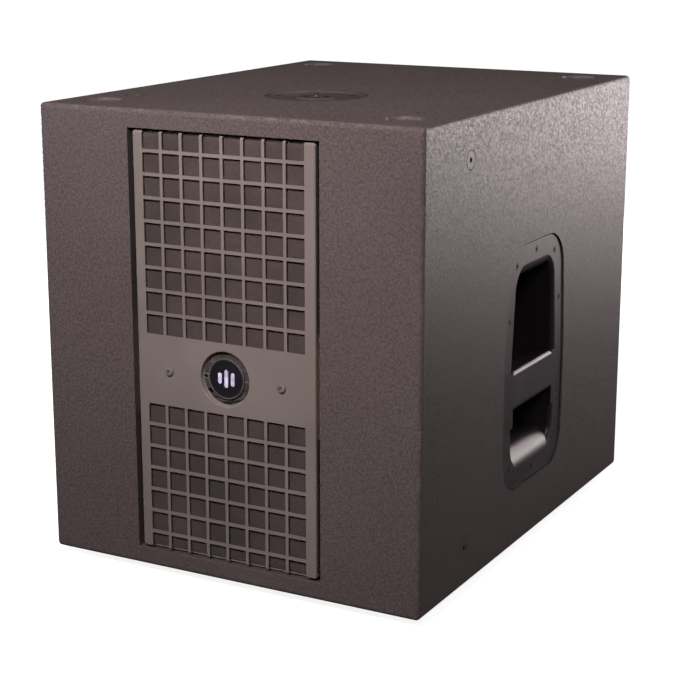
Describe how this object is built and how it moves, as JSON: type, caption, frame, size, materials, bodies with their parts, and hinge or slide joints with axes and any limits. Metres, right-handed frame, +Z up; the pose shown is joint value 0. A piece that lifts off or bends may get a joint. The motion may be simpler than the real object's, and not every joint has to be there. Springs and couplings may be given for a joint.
{
  "type": "subwoofer cabinet",
  "caption": "Self-powered wooden subwoofer cabinet: bass driver behind a slotted square-hole grille, recessed side handles, pole socket on top, amplifier plate at the back.",
  "frame": {"origin": "on the floor under the middle of the cabinet, level with the underside of the feet", "axes": "+Z up, -Y out of the grille, +X to the right of someone who faces the grille"},
  "size_m": [0.464, 0.5951, 0.52],
  "materials": {
    "textured_paint": "coarse satin polyurea coat on wood",
    "bare_plywood": "raw birch plywood",
    "grille_steel": "textured powder coat",
    "acoustic_foam": "open-cell foam",
    "damping_felt": "polyester wadding",
    "handle_plastic": "glass-filled nylon, satin",
    "grip_rubber": "soft satin moulding",
    "black_screws": "black oxide",
    "zinc_steel": "zinc plated",
    "socket_casting": "black powder coat",
    "badge_black": "gloss black",
    "badge_metal": "satin grey coat",
    "foot_rubber": "matt",
    "basket_casting": "black powder coat",
    "pulp_cone": "coated paper pulp",
    "doped_cloth": "doped cotton",
    "coil_copper": "copper winding on its former",
    "ferrite": "sintered ferrite",
    "amp_aluminium": "black anodised",
    "circuit_board": "solder mask",
    "copper_winding": "varnished winding in tape",
    "connector_plastic": "moulded",
    "control_plastic": "moulded",
    "lamp_lens": "clear green lens"
  },
  "bodies": {
    "cabinet": {"amp_circuit_board": "circuit_board", "amp_housing": "amp_aluminium", "amp_screws": "black_screws", "amp_tray": "amp_aluminium", "back_panel": "textured_paint", "badge_disc": "badge_black", "badge_ring": "badge_metal", "bottom_panel": "textured_paint", "control_modules": "connector_plastic", "damping_mats": "damping_felt", "foot_front_left": "foot_rubber", "foot_front_right": "foot_rubber", "foot_rear_left": "foot_rubber", "foot_rear_right": "foot_rubber", "foot_screws": "zinc_steel", "front_baffle": "textured_paint", "grille_crossbar": "bare_plywood", "grille_foam": "acoustic_foam", "grille_panel": "grille_steel", "grille_screws": "zinc_steel", "grille_spacers": "zinc_steel", "handle_screws": "black_screws", "indicator_lamps": "lamp_lens", "left_grip_bar": "grip_rubber", "left_handle_tray": "handle_plastic", "left_side_panel": "textured_paint", "magnet": "ferrite", "mains_inlet": "connector_plastic", "pole_nut": "zinc_steel", "pole_socket": "socket_casting", "pole_socket_screws": "black_screws", "pole_yoke": "zinc_steel", "port_shelf": "bare_plywood", "power_transformer": "copper_winding", "rigging_inserts": "zinc_steel", "rigging_plugs": "black_screws", "right_grip_bar": "grip_rubber", "right_handle_tray": "handle_plastic", "right_side_panel": "textured_paint", "rocker_frame": "connector_plastic", "spider": "doped_cloth", "surround": "doped_cloth", "top_panel": "textured_paint", "top_plate": "zinc_steel", "window_brace": "bare_plywood", "woofer_baffle": "bare_plywood", "woofer_basket": "basket_casting", "woofer_bolts": "black_screws", "woofer_gasket": "foot_rubber", "woofer_t_nuts": "zinc_steel", "xlr_input": "connector_plastic", "xlr_link": "connector_plastic"},
    "cone_assembly": {"cone": "pulp_cone", "dust_cap": "pulp_cone", "voice_coil": "coil_copper"},
    "level_knob": {"level_knob": "control_plastic"},
    "lowpass_knob": {"lowpass_knob": "control_plastic"},
    "polarity_button": {"polarity_button": "control_plastic"},
    "power_rocker": {"power_rocker": "control_plastic"},
    "xlr_latch": {"xlr_latch": "zinc_steel"}
  },
  "joints": [
    {"name": "cone_travel", "type": "slide", "parent": "cabinet", "child": "cone_assembly", "axis": [0, -1, 0], "range_m": [-0.008, 0.008], "stiffness_N_per_m": 6000, "deforming": ["surround", "spider"]},
    {"name": "level_knob_turn", "type": "hinge", "parent": "cabinet", "child": "level_knob", "pos_m": [0.078, 0.275, 0.25], "axis": [0, 1, 0], "range_deg": [-140, 140]},
    {"name": "lowpass_knob_turn", "type": "hinge", "parent": "cabinet", "child": "lowpass_knob", "pos_m": [0.034, 0.275, 0.25], "axis": [0, 1, 0], "range_deg": [-140, 140]},
    {"name": "polarity_button_press", "type": "slide", "parent": "cabinet", "child": "polarity_button", "axis": [0, -1, 0], "range_m": [0, 0.002], "stiffness_N_per_m": 150},
    {"name": "power_rocker_tilt", "type": "hinge", "parent": "cabinet", "child": "power_rocker", "pos_m": [-0.06, 0.273, 0.196], "axis": [-1, 0, 0], "range_deg": [0, 20]},
    {"name": "xlr_latch_press", "type": "slide", "parent": "cabinet", "child": "xlr_latch", "axis": [0, -1, 0], "range_m": [0, 0.0015], "stiffness_N_per_m": 100}
  ]
}
